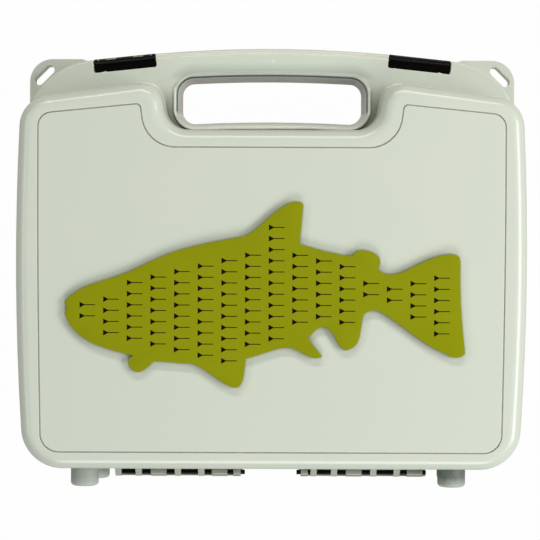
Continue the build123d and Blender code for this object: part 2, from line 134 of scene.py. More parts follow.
# Each softbox: its place, its width and height, and its colour
SOFTBOXES = {
    "right": ((1.25, -0.1, 1.0), (1.2, 0.5), (1.0, 0.985, 1.0)),
    "left": ((-1.25, 0.1, 1.0), (1.2, 0.3), (0.98, 1.0, 0.98)),
    "handle": ((0.0, 1.3, 0.95), (1.4, 0.12), (1.0, 0.98, 0.91)),
    "hinge": ((0.1, -1.3, 0.95), (1.0, 0.6), (0.99, 1.0, 0.99)),
}


def colour_property(name, description, default):
    """A colour that a user may change."""
    return FloatVectorProperty(
        name=name, description=description, default=default, size=3, min=0.0, max=1.0, subtype="COLOR")


def number_property(name, description, default, **options):
    """A number that a user may change."""
    return FloatProperty(name=name, description=description, default=default, **options)


def length_property(name, description, default):
    """A length in metres that a user may change."""
    return number_property(name, description, default, min=0.0, precision=4, unit="LENGTH")


def share_property(name, description, default):
    """A share from 0 to 1 that a user may change."""
    return number_property(name, description, default, min=0.0, max=1.0, subtype="FACTOR")


def power_property(name, description, default):
    """A lamp's power in watts that a user may change."""
    return number_property(name, description, default, min=0.0, unit="POWER")


class ShellSettings(bpy.types.PropertyGroup):
    colour: colour_property("Colour", "Pale grey-green of the moulded shells", (0.60, 0.64, 0.55))
    cool_colour: colour_property("Cool drift", "Where the plastic leans to green", (0.58, 0.635, 0.55))
    drift_size: length_property("Drift size", "Width of the slow changes of tone", 90 * MM)
    roughness: share_property("Roughness", "Roughness of the moulded skin", 0.21)
    handling_size: length_property("Handling size", "Width of the duller handled spots", 14 * MM)
    handling: share_property("Handling", "Roughness that handling adds", 0.08)
    peel_size: length_property("Peel size", "Width of the skin's waves", 1.6 * MM)
    peel_depth: length_property("Peel depth", "Height of the skin's waves", 0.012 * MM)
    edge_radius: length_property("Edge radius", "Rounding of the moulded edges", 0.5 * MM)
    # Painted highlight: the cream edge colour is painted along the moulded edges and the plate's creases,
    # where light catches them.
    edge_colour: colour_property("Edge colour", "Cream tone of the thin moulded edges", (0.93, 0.85, 0.72))
    edge_width: length_property("Edge width", "Reach of the cream tone beside an edge", 0.7 * MM)
    edge_highlight_tint: share_property("Edge tint", "Strength of the edges' cream tone", 0.85)
    # The gate mark is painted in the same cream, as a pale painted highlight.
    gate_radius: length_property("Gate radius", "Size of the gate mark on the handle", 1.6 * MM)
    gate_highlight_tint: share_property("Gate tint", "Strength of the gate mark", 0.6)
    # Painted light: the ledge below the finger opening is painted pale to lift its shade.
    ledge_light_colour: colour_property("Ledge colour", "Pale tone below the finger opening", (0.92, 0.91, 0.82))
    ledge_light_tint: share_property("Ledge tint", "Strength of the pale tone there", 0.8)
    # Painted shade: the finger opening's walls are painted a darker grey.
    wall_shade_colour: colour_property("Wall colour", "Grey of the finger opening's walls", (0.50, 0.46, 0.45))
    flank_colour: colour_property("Flank colour", "Shine on the opening's side lips", (0.98, 0.97, 0.94))
    # Painted shadow: a dark line round the opening, which also shades a band of the handle's bar above it.
    brink_shadow_colour: colour_property("Brink colour", "Dark line round the opening", (0.02, 0.07, 0.05))
    hand_shade: share_property("Hand shade", "Strength of that tone on the handle's bar", 0.25)
    recess_colour: colour_property("Recess colour", "Shaded tone of recesses", (0.16, 0.17, 0.125))
    recess_reach: length_property("Recess reach", "How far a wall shades the bay", 30 * MM)
    crease_reach: length_property("Crease reach", "Reach of the lines in inner corners", 1.4 * MM)
    groove_shade: share_property("Groove shade", "Shade in the grooves of the lobes", 0.3)
    base_hinge_shade: share_property("Base hinge shade", "Shade on the base's knuckles", 0.75)
    lid_hinge_shade: share_property("Lid hinge shade", "Shade on the lid's knuckles", 0.45)


class PatchSettings(bpy.types.PropertyGroup):
    colour: colour_property("Colour", "Olive of the slit foam", (0.226, 0.247, 0.002))
    edge_colour: colour_property("Edge colour", "Paler olive of the foam's specks", (0.27, 0.29, 0.006))
    edge_radius: length_property("Edge radius", "Rounding of the cut outline", 0.5 * MM)
    cell_size: length_property("Cell size", "Width of the foam's cells", 0.45 * MM)
    smudge: colour_property("Smudge", "Dark mark near the tail's upper corner", (0.10, 0.11, 0.02))
    smudge_radius: length_property("Smudge radius", "Size of that mark", 2.0 * MM)


class LinerSettings(bpy.types.PropertyGroup):
    colour: colour_property("Colour", "Grey of the foam liners", (0.43, 0.45, 0.42))
    cell_size: length_property("Cell size", "Width of the foam's cells", 0.8 * MM)
    pitch_x: length_property("Column pitch", "Distance between columns of slits", 15.88 * MM)
    pitch_y: length_property("Row pitch", "Distance between slits in a column", 12.0 * MM)
    slit_length: length_property("Slit length", "Length of one slit", 9.0 * MM)
    slit_width: length_property("Slit width", "Width of one slit", 0.7 * MM)
    slit_depth: length_property("Slit depth", "Depth of the slits", 6.0 * MM)
    margin: length_property("Margin", "Foam left whole round the slits", 9.0 * MM)


class TrimSettings(bpy.types.PropertyGroup):
    black: colour_property("Black", "Black of the latches and hinge pins", (0.0006, 0.0006, 0.0006))
    # The tan on the latches' ribs and dots is a painted highlight: strong on the left latch, faint on the
    # right.
    tan: colour_property("Tan", "Worn tan of the latches' ribs", (0.42, 0.33, 0.23))
    left_wear: share_property("Left wear", "Wear of the left latch's ribs", 1.0)
    right_wear: share_property("Right wear", "Wear of the right latch's ribs", 0.12)
    # The feet's greys carry painted shade: the right feet are darker than the left, and the feet are painted
    # paler towards their free ends as painted light.
    left_rubber: colour_property("Left rubber", "Grey of the left feet", (0.30, 0.34, 0.30))
    right_rubber: colour_property("Right rubber", "Darker grey of the right feet", (0.10, 0.125, 0.105))
    dust_and_light_rubber: colour_property("Rubbed rubber", "Paler grey of the feet's free ends", (0.46, 0.50, 0.44))
    steel: colour_property("Steel", "Steel of the latch pins", (0.60, 0.60, 0.58))
    seal_rounding: length_property("Seal rounding", "Rounding of the seal's lip", 0.7 * MM)


class StudioSettings(bpy.types.PropertyGroup):
    camera_height: length_property("Camera height", "Height of the lens above the floor", 1.289)
    camera_y: number_property("Camera Y", "Place of the lens along Y", 0.0038, unit="LENGTH")
    lens: number_property("Lens", "Focal length on a 36 mm sensor", 118.74, unit="CAMERA")
    camera_roll: number_property("Roll", "Turn of the lens", 0.004, unit="ROTATION")
    shift_px_x: number_property("Shift X", "Frame shift in image pixels", -1.5)
    shift_px_y: number_property("Shift Y", "Frame shift in image pixels", -9.3)
    right_power: power_property("Right", "Large softbox at the right", 16.5)
    left_power: power_property("Left", "Strip light at the left", 4.0)
    handle_power: power_property("Handle", "Strip light past the handle", 11.0)
    hinge_power: power_property("Hinge", "Softbox past the hinges", 11.0)
    sky: share_property("Sky", "Strength of the even light", 0.20)
    floor_lift: share_property("Floor lift", "Share of plain white in the floor", 0.985)
    floor_gloss: share_property("Floor gloss", "Share of that white in reflections", 0.4)
    floor_colour: colour_property("Floor", "What the floor throws back on the case", (0.36, 0.32, 0.27))


class BoatBoxSettings(bpy.types.PropertyGroup):
    shell: PointerProperty(type=ShellSettings)
    patch: PointerProperty(type=PatchSettings)
    liner: PointerProperty(type=LinerSettings)
    trim: PointerProperty(type=TrimSettings)
    studio: PointerProperty(type=StudioSettings)


class Value:
    """A node's socket that takes part in Python arithmetic."""

    def __init__(self, graph, socket):
        self.graph = graph
        self.socket = socket

    def out(self, name):
        """Another output of the same node."""
        return Value(self.graph, self.socket.node.outputs[name])

    def part(self, axis):
        """One axis of a vector."""
        return self.graph.node("ShaderNodeSeparateXYZ", {}, {0: self}, axis)

    def size(self):
        """The number without its sign."""
        return self.graph.math("ABSOLUTE", self)

    def floor(self):
        """The whole number at or below this one."""
        return self.graph.math("FLOOR", self)

    def most(self, other):
        """The larger of two numbers."""
        return self.graph.math("MAXIMUM", self, other)

    def __add__(self, other):
        return self.graph.math("ADD", self, other)

    __radd__ = __add__

    def __sub__(self, other):
        return self.graph.math("SUBTRACT", self, other)

    def __rsub__(self, other):
        return self.graph.math("SUBTRACT", other, self)

    def __mul__(self, other):
        return self.graph.math("MULTIPLY", self, other)

    __rmul__ = __mul__

    def __truediv__(self, other):
        return self.graph.math("DIVIDE", self, other)

    def __mod__(self, other):
        return self.graph.math("MODULO", self, other)

    def __lt__(self, other):
        return self.graph.math("LESS_THAN", self, other)

    def __gt__(self, other):
        return self.graph.math("GREATER_THAN", self, other)


class Graph:
    """A node tree that is written as expressions."""

    def __init__(self, tree):
        self.tree = tree

    def node(self, kind, settings=None, inputs=None, output=0):
        """Adds a node: its settings first, then the values or links of its sockets."""
        made = self.tree.nodes.new(kind)
        for name, value in (settings or {}).items():
            setattr(made, name, value)
        for key, value in (inputs or {}).items():
            if isinstance(value, Value):
                self.tree.links.new(value.socket, made.inputs[key])
            else:
                made.inputs[key].default_value = value
        return Value(self, made.outputs[output] if made.outputs else None)

    def math(self, operation, first, second=0.0):
        """Arithmetic on numbers."""
        return self.node("ShaderNodeMath", {"operation": operation}, {0: first, 1: second})

    def vector(self, operation, first, second=(0.0, 0.0, 0.0), output="Vector"):
        """Arithmetic on vectors."""
        return self.node("ShaderNodeVectorMath", {"operation": operation}, {0: first, 1: second}, output)

    def ramp(self, value, low, high):
        """A number sent through two stops, each a place and a grey level."""
        made = self.node("ShaderNodeValToRGB", {}, {0: value})
        for element, (place, level) in zip(made.socket.node.color_ramp.elements, (low, high)):
            element.position = place
            element.color = (level, level, level, 1.0)
        return made

    def mix(self, share, low, high):
        """Blends two colours."""
        inputs = {0: share, 6: paint(low), 7: paint(high)}
        return self.node("ShaderNodeMix", {"data_type": "RGBA"}, inputs, 2)

    def place(self):
        """Object coordinates: the place in the frame, in metres."""
        return self.node("ShaderNodeTexCoord").out("Object")

    def noise(self, size, detail=2.0, roughness=0.5, place=None):
        """Noise whose features are about as wide as the size."""
        return self.node("ShaderNodeTexNoise", {}, {
            "Vector": place or self.place(), "Scale": 1.0 / size, "Detail": detail, "Roughness": roughness})

    def drawn(self, detail, *scale):
        """Noise drawn out to fine lines, by a scale for each axis."""
        stretched = self.node("ShaderNodeMapping", {}, {"Vector": self.place(), "Scale": scale})
        return self.noise(1.0, detail, place=stretched)

    def fade(self, value, start, end):
        """0 up to the start and 1 from the end on."""
        return self.node("ShaderNodeMapRange", {}, {"Value": value, "From Min": start, "From Max": end})

    def band(self, value, low, high, soft):
        """1 between two values, falling to 0 past them."""
        return self.fade(value, low - soft, low) * self.fade(value, high + soft, high)

    def box_gap(self, low, high, radius):
        """Distance along X and Y from a box with rounded corners, less than 0 inside it."""
        straight = (high - low) / 2 - Vector((radius, radius, 0.0))
        folded = self.vector("ABSOLUTE", self.vector("SUBTRACT", self.place(), (low + high) / 2))
        outside = self.vector("MAXIMUM", self.vector("SUBTRACT", folded, straight))
        flat = self.vector("MULTIPLY", outside, (1.0, 1.0, 0.0))
        return self.vector("LENGTH", flat, output="Value") - radius

    def near(self, point, radius):
        """1 at a point, falling smoothly to 0 at the radius."""
        gap = self.vector("DISTANCE", self.place(), point, "Value")
        return self.node("ShaderNodeMapRange", {"interpolation_type": "SMOOTHSTEP"}, {
            "Value": gap, "From Min": radius, "From Max": 0.0, "To Min": 0.0, "To Max": 1.0})

    def bump(self, height, depth, normal=None):
        """A bump whose height of 1 stands that deep, in metres."""
        inputs = {"Height": height, "Distance": depth, "Strength": 1.0}
        if normal:
            inputs["Normal"] = normal
        return self.node("ShaderNodeBump", {}, inputs)

    def rounded(self, radius):
        """The normal of a surface whose edges are rounded."""
        return self.node("ShaderNodeBevel", {"samples": 6}, {"Radius": radius})

    def edge(self, radius):
        """1 along edges rounded by a radius, 0 on the faces between them."""
        true_normal = self.node("ShaderNodeNewGeometry").out("True Normal")
        along = self.vector("DOT_PRODUCT", self.rounded(radius), true_normal, "Value")
        return self.ramp(1.0 - along, (0.01, 0.0), (0.12, 1.0))

    def closed_in(self, reach, start, end):
        """1 where walls within the reach close a surface in, as open air falls from start to end."""
        open_air = self.node("ShaderNodeAmbientOcclusion", {"samples": 8}, {"Distance": reach}, "AO")
        return self.fade(open_air, start, end)

    def join(self, *parts):
        """Several pieces of geometry as one."""
        made = self.tree.nodes.new("GeometryNodeJoinGeometry")
        for part in parts:
            self.tree.links.new(part.socket, made.inputs[0])
        return Value(self, made.outputs[0])


def paint(colour):
    """A colour with the alpha that a socket wants, or a link as it is."""
    return colour if isinstance(colour, Value) else (*colour[:3], 1.0)


def scaled(colour, factor):
    """A colour made lighter or darker."""
    return tuple(factor * part for part in colour)


def blank_graph(owner):
    """The empty node graph of a material or a world."""
    owner.use_nodes = True
    owner.node_tree.nodes.clear()
    return Graph(owner.node_tree)


def material(name, build, **constants):
    """A material of the inputs that build makes vary, and of constants on the shader's own sockets."""
    made = bpy.data.materials.new(name)
    graph = blank_graph(made)
    inputs = {**{key.replace("_", " "): value for key, value in constants.items()}, **build(graph)}
    surface = graph.node("ShaderNodeBsdfPrincipled", {}, inputs)
    graph.node("ShaderNodeOutputMaterial", {}, {"Surface": surface})
    return made


def dress(node, finish):
    """Gives a CAD node a finish."""
    slots = frame["nodes"][node].data.materials
    slots.clear()
    slots.append(finish)


class ShellMasks:
    """Places on a shell: each mask is 1 there and 0 elsewhere, with a soft border."""

    def __init__(self, graph, settings):
        place = graph.place()
        beside = place.part("X").size()
        along = place.part("Y")
        height = place.part("Z")
        widening = (height - parting_z).size() * opening_spread
        gap = graph.box_gap(opening_low, opening_high, opening_corner) - widening

        # Parts of the lid that the tones share
        crease = graph.closed_in(settings.crease_reach, 0.92, 0.70)
        edges = graph.edge(settings.edge_width) * (1.0 - crease)
        under_lobes = graph.fade(height, plate_top + 12 * MM, plate_top + 8 * MM)
        on_plate = graph.fade(along, bay_floor_y - 3 * MM, bay_floor_y - 1 * MM) * under_lobes
        on_handle = graph.fade(along, opening_high.y, opening_high.y + 3 * MM)
        in_bay = graph.fade(beside, bay_half_width + 10 * MM, bay_half_width + 2 * MM)
        off_lip = graph.fade(gap, lip_width - 0.3 * MM, lip_width + 0.7 * MM)
        round_lip = off_lip * in_bay * (1.0 - on_handle)
        past_ledge = graph.fade(along, opening_low.y + 3 * MM, opening_low.y + 7 * MM)
        walls = graph.fade(gap, 0.5 * MM, 0.2 * MM) * past_ledge

        # Painted highlights and light: along edges and creases, on the gate mark, on the ledge below the
        # opening and on the opening's side lips
        self.lines = edges.most(crease * on_plate * (1.0 - round_lip))
        self.gate = graph.near(gate_place, settings.gate_radius)
        self.ledge = (
            graph.band(along, bay_floor_y - 3 * MM, opening_low.y + 1 * MM, 1 * MM)
            * graph.band(height, plate_top - 5 * MM, plate_top + 4 * MM, 3 * MM)
            * graph.fade(beside, opening_high.x + 2 * MM, opening_high.x - 8 * MM))
        self.side_lips = (
            graph.band(gap, 0.7 * MM, lip_width, 0.3 * MM)
            * graph.band(along, opening_low.y + 5 * MM, opening_high.y - 6 * MM, 2 * MM))

        # Painted shade and shadow: on the opening's walls, as a dark line round the opening and a band above
        # it on the handle, in the bay's recesses, in the grooves and on the hinge knuckles
        self.walls = walls * graph.fade(height, line_z - 2.2 * MM, line_z - 3.2 * MM)
        wall_shadow_line = walls * graph.band(height, line_z - 1.4 * MM, line_z + 1.4 * MM, 0.5 * MM)
        self.brink = wall_shadow_line.most(edges * graph.fade(gap, 1.2 * MM, 0.8 * MM) * past_ledge)
        self.hand = graph.fade(gap, 9 * MM, 3 * MM) * on_handle
        self.recess = graph.closed_in(settings.recess_reach, 0.75, 0.42) * round_lip * on_plate
        self.groove = crease * (1.0 - on_plate)
        self.hinge = (
            graph.fade(along, back_wall_y + 0.3 * MM, back_wall_y - 0.7 * MM)
            * graph.fade(beside, hinge_end_x + 1 * MM, hinge_end_x))


def shell_plastic(half, settings):
    """Pale moulded plastic with a satin gloss and a fine orange peel, with painted highlights on its edges
    and round the finger opening, and painted shade in its hollows and on its hinge knuckles.
    """
    def build(graph):
        on = ShellMasks(graph, settings)
        drift = graph.ramp(graph.noise(settings.drift_size, 3.0), (0.35, 0.0), (0.65, 1.0))
        handled = graph.noise(settings.handling_size, 5.0, 0.6)
        hinge_shade = getattr(settings, f"{half}_hinge_shade") * on.hinge
        groove_shade = settings.groove_shade * on.groove
        skin = graph.mix(drift, settings.colour, settings.cool_colour)
        # Painted highlights, light, shade and shadow are laid over the skin one by one.
        for share, colour in (
                (on.lines.most(settings.gate_highlight_tint * on.gate) * settings.edge_highlight_tint, settings.edge_colour),
                (on.ledge * settings.ledge_light_tint, settings.ledge_light_colour),
                (on.walls, settings.wall_shade_colour),
                (on.side_lips, settings.flank_colour),
                (on.brink.most(settings.hand_shade * on.hand), settings.brink_shadow_colour),
                (hinge_shade.most(groove_shade.most(on.recess)), settings.recess_colour)):
            skin = graph.mix(share, skin, colour)
        peel = graph.noise(settings.peel_size)
        return {
            "Base Color": skin,
            "Roughness": settings.roughness + settings.handling * handled,
            "Normal": graph.bump(peel, settings.peel_depth, graph.rounded(settings.edge_radius)),
        }
    return material(f"shell_plastic_{half}", build, IOR=1.5)


def slit_foam(name, colour, speck_colour, cell_size, marks=None):
    """Closed-cell foam: a dull skin of fine cells with a slow change of tone, and marks painted on it."""
    def build(graph):
        cells = graph.node("ShaderNodeTexVoronoi", {"feature": "F1"}, {
            "Vector": graph.place(), "Scale": 1.0 / cell_size})
        grain = graph.noise(cell_size * 0.6)
        tone = graph.ramp(graph.noise(25 * MM, 4.0, 0.6), (0.3, 0.0), (0.7, 1.0))
        speck = graph.ramp(grain, (0.35, 0.0), (0.75, 1.0))
        foam = graph.mix(0.25 * tone + 0.35 * speck, colour, speck_colour)
        return {
            "Base Color": marks(graph, foam) if marks else foam,
            "Roughness": 0.82 + 0.12 * grain,
            "Normal": graph.bump(cells + 0.5 * grain, 0.04 * MM),
        }
    return material(name, build, IOR=1.45, Specular_IOR_Level=0.08)


def satin_black(settings):
    """Black moulded plastic with a brushed satin look along its length."""
    def build(graph):
        haze = graph.noise(3 * MM, 4.0, 0.6)
        lines = graph.drawn(2.0, 60.0, 900.0, 900.0)
        streaks = graph.ramp(lines, (0.45, 0.0), (0.75, 1.0))
        return {
            "Base Color": graph.mix(streaks, settings.black, scaled(settings.black, 2.6)),
            "Roughness": 0.26 + 0.14 * haze,
            "Normal": graph.bump(lines, 0.01 * MM, graph.rounded(0.3 * MM)),
        }
    return material("satin_black", build, IOR=1.45, Specular_IOR_Level=0.1)


def foot_rubber(side, settings):
    """Grey rubber with a dull moulded skin, its side's grey a painted shade, painted paler towards its free
    end as painted light, with a little dust.
    """
    def build(graph):
        dust = graph.ramp(graph.noise(5 * MM, 5.0, 0.65), (0.35, 0.0), (0.75, 1.0))
        grain = graph.noise(0.5 * MM)
        shaded_side_rubber = getattr(settings, f"{side}_rubber")
        free_end = graph.fade(graph.place().part("Y"), case_low.y + 7 * MM, case_low.y + 1 * MM)
        return {
            "Base Color": graph.mix(0.8 * free_end + 0.2 * dust, shaded_side_rubber, settings.dust_and_light_rubber),
            "Roughness": 0.5 + 0.2 * dust,
            "Normal": graph.bump(grain, 0.03 * MM),
        }
    return material(f"foot_rubber_{side}", build, IOR=1.48)


def seal_rubber():
    """Black elastomer with a fine matt skin."""
    def build(graph):
        grain = graph.noise(0.6 * MM, 3.0)
        return {
            "Base Color": graph.mix(grain, (0.010, 0.010, 0.010), (0.030, 0.030, 0.029)),
            "Roughness": 0.6 + 0.2 * grain,
            "Normal": graph.bump(grain, 0.03 * MM),
        }
    return material("seal_rubber", build, IOR=1.48)


def pin_steel(settings):
    """Drawn steel wire with fine lines along its length."""
    def build(graph):
        lines = graph.drawn(3.0, 120.0, 2500.0, 2500.0)
        return {
            "Base Color": graph.mix(lines, scaled(settings.steel, 0.8), settings.steel),
            "Roughness": 0.25 + 0.2 * lines,
            "Normal": graph.bump(lines, 0.01 * MM),
        }
    return material("pin_steel", build, Metallic=1.0)


def highlighted_rib_plastic(side, settings):
    """Black plastic of a latch's ribs, with tan patches painted on as highlights."""
    def build(graph):
        rib_highlight = getattr(settings, f"{side}_wear")
        rib_sheen = graph.ramp(graph.noise(1.2 * MM, 3.0), (0.30, 0.5 * rib_highlight), (0.60, rib_highlight))
        return {
            "Base Color": graph.mix(rib_sheen, settings.black, settings.tan),
            "Roughness": 0.45 + 0.2 * rib_sheen,
            "Normal": graph.bump(rib_sheen, 0.02 * MM),
        }
    return material(f"rubbed_plastic_{side}", build, IOR=1.45, Specular_IOR_Level=0.16)


def add_object(name, data):
    """A new object at the origin."""
    made = bpy.data.objects.new(name, data)
    bpy.context.scene.collection.objects.link(made)
    return made


def add_piece(name, shape, finish, body):
    """A piece from a bmesh, with its finish, body and material slot."""
    data = bpy.data.meshes.new(name)
    shape.to_mesh(data)
    shape.free()
    data.materials.append(finish)
    made = add_object(name, data)
    data.shade_smooth()
    data.set_sharp_from_angle(angle=SMOOTH_ANGLE)
    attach(made, body)
    return made


def welded(node):
    """A welded copy of a CAD node's shape, with its flat faces joined."""
    shape = bmesh.new()
    shape.from_mesh(frame["nodes"][node].data)
    bmesh.ops.remove_doubles(shape, verts=shape.verts, dist=WELD_DISTANCE)
    bmesh.ops.dissolve_limit(shape, angle_limit=FLAT_ANGLE, verts=shape.verts, edges=shape.edges)
    bmesh.ops.recalc_face_normals(shape, faces=shape.faces)
    return shape


def sharp_edges(shape, level):
    """The sharp edges that lie at a level."""
    return [
        edge for edge in shape.edges
        if len(edge.link_faces) == 2 and edge.calc_face_angle() > SHARP_ANGLE
        and all(abs(vert.co.z - level) < LEVEL_TOLERANCE for vert in edge.verts)]


def edge_loops(edges):
    """Groups of edges that hang together."""
    left = set(edges)
    groups = []
    while left:
        group = {left.pop()}
        front = set(group)
        while front:
            reached = {other for edge in front for vert in edge.verts for other in vert.link_edges}
            front = reached & left
            left -= front
            group |= front
        groups.append(group)
    return groups


def span(edges):
    """Length and width, added up, of the box that holds the edges."""
    places = [vert.co for edge in edges for vert in edge.verts]
    return sum(max(p[axis] for p in places) - min(p[axis] for p in places) for axis in (0, 1))


def rim(shape, level):
    """The outline's edges at a level: the widest ring of sharp edges there."""
    return max(edge_loops(sharp_edges(shape, level)), key=span)


def round_edges(shape, edges, radius, segments=3):
    """Rounds some edges of a shape."""
    bmesh.ops.bevel(
        shape, geom=list(edges), offset=radius, segments=segments, profile=0.5, affect="EDGES",
        clamp_overlap=True)


def latch_frame(side, end, offset):
    """A place at an offset from the middle of a latch's pin, towards one end, and turned to lie along it."""
    pivot = joints[f"latch_{side}_pivot"]
    axis = Vector(pivot["axis"]).normalized()
    turn = Matrix((axis, Vector((-axis.y, axis.x, 0.0)), Vector((0.0, 0.0, 1.0)))).transposed()
    place = Vector(pivot["pos_m"]) + turn @ Vector((end * offset.x, offset.y, offset.z))
    return Matrix.Translation(place) @ turn.to_4x4()


class BOATBOX_OT_shells(bpy.types.Operator):
    """Gives both moulded shells their pale plastic"""
    bl_idname = "boatbox.shells"
    bl_label = "Dress shells"

    def execute(self, context):
        for half in HALVES:
            dress(f"{half}_shell", shell_plastic(half, context.scene.boat_box.shell))
        return {"FINISHED"}


class BOATBOX_OT_fly_patch(bpy.types.Operator):
    """Makes the trout-shaped slit foam patch and dresses its black backing"""
    bl_idname = "boatbox.fly_patch"
    bl_label = "Make fly patch"

    def execute(self, context):
        settings = context.scene.boat_box.patch
        tail_corner = patch_high - Vector((3 * MM, 0.0, 0.0))

        def marks(graph, foam):
            return graph.mix(graph.near(tail_corner, settings.smudge_radius), foam, settings.smudge)

        foam = slit_foam("patch_foam", settings.colour, settings.edge_colour, settings.cell_size, marks)
        shape = welded("fly_patch")
        round_edges(shape, rim(shape, patch_high.z), settings.edge_radius)
        patch = add_piece("slit_foam_trout", shape, foam, "lid")
        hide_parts("fly_patch")
        dress("fly_patch_backing", seal_rubber())
        return {"FINISHED"}


class BOATBOX_OT_seal(bpy.types.Operator):
    """Makes the seal with its rounded lip"""
    bl_idname = "boatbox.seal"
    bl_label = "Make seal"

    def execute(self, context):
        shape = welded("lid_seal")
        lip_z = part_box("lid_seal")[0].z
        round_edges(shape, sharp_edges(shape, lip_z), context.scene.boat_box.trim.seal_rounding)
        seal = add_piece("seal_ring", shape, seal_rubber(), "lid")
        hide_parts("lid_seal")
        return {"FINISHED"}


class BOATBOX_OT_latches(bpy.types.Operator):
    """Dresses the latches and all pins, and adds the latches' ribs and the notches' tabs"""
    bl_idname = "boatbox.latches"
    bl_label = "Dress latches"

    def execute(self, context):
        settings = context.scene.boat_box.trim
        black = satin_black(settings)
        steel = pin_steel(settings)
        shell = bpy.data.materials["shell_plastic_lid"]
        for side in SIDES:
            dress(f"latch_{side}", black)
            dress(f"hinge_pin_{side}", black)
            dress(f"latch_pin_{side}", steel)
            self.add_ribs(side, highlighted_rib_plastic(side, settings))
            self.add_tab(side, shell)
        return {"FINISHED"}

    def add_ribs(self, side, finish):
        """Two short ribs and two dots that stand along a latch's outer edge."""
        shape = bmesh.new()
        stretch = Matrix.Diagonal((*RIB_SIZE, 1.0))
        for end in (-1, 1):
            bmesh.ops.create_cube(shape, size=1.0, matrix=latch_frame(side, end, RIB_PLACE) @ stretch)
        round_edges(shape, shape.edges, RIB_ROUNDING, 2)
        for end in (-1, 1):
            bmesh.ops.create_uvsphere(
                shape, u_segments=16, v_segments=8, radius=DOT_RADIUS,
                matrix=latch_frame(side, end, DOT_PLACE))
        add_piece(f"latch_{side}_ribs", shape, finish, f"latch_{side}")

    def add_tab(self, side, finish):
        """Small moulded tab at the outer end of a latch's notch."""
        shape = bmesh.new()
        outer_end = -1 if side == "left" else 1
        bmesh.ops.create_cone(
            shape, cap_ends=True, segments=20, radius1=TAB_RADII[0], radius2=TAB_RADII[1],
            depth=TAB_LENGTH, matrix=latch_frame(side, outer_end, TAB_PLACE))
        add_piece(f"notch_{side}_tab", shape, finish, "lid")


class BOATBOX_OT_feet(bpy.types.Operator):
    """Gives the four feet their grey rubber"""
    bl_idname = "boatbox.feet"
    bl_label = "Dress feet"

    def execute(self, context):
        for side in SIDES:
            rubber = foot_rubber(side, context.scene.boat_box.trim)
            for half in HALVES:
                dress(f"{half}_foot_{side}", rubber)
        return {"FINISHED"}


class BOATBOX_OT_liners(bpy.types.Operator):
    """Makes the foam liners with their staggered slits"""
    bl_idname = "boatbox.liners"
    bl_label = "Make foam liners"

    def execute(self, context):
        settings = context.scene.boat_box.liner
        foam = slit_foam("liner_foam", settings.colour, scaled(settings.colour, 1.25), settings.cell_size)
        for half in HALVES:
            piece = slit_liner(half, foam, settings)
            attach(piece, half)
            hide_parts(f"{half}_foam")
        return {"FINISHED"}


def liner_outline(half):
    """The liner's outline as a ring of edges, level with the floor."""
    shape = welded(f"{half}_foam")
    low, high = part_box(f"{half}_foam")
    ring = rim(shape, high.z if half == "base" else low.z)
    corners = {vert for edge in ring for vert in edge.verts}
    places = {vert: index for index, vert in enumerate(corners)}
    data = bpy.data.meshes.new(f"{half}_liner_outline")
    data.from_pydata(
        [(vert.co.x, vert.co.y, 0.0) for vert in places],
        [[places[vert] for vert in edge.verts] for edge in ring], [])
    shape.free()
    return data


def foam_layer(graph, sheet, bottom, top):
    """A flat sheet raised from one level to another, and its turned underside."""
    lift = graph.node("ShaderNodeCombineXYZ", {}, {"Z": bottom})
    rise = graph.node("ShaderNodeCombineXYZ", {}, {"Z": top - bottom})
    laid = graph.node("GeometryNodeTransform", {}, {"Geometry": sheet, "Translation": lift})
    raised = graph.node("GeometryNodeExtrudeMesh", {}, {
        "Mesh": laid, "Offset": rise, "Offset Scale": 1.0, "Individual": False})
    return raised, graph.node("GeometryNodeFlipFaces", {}, {0: laid})


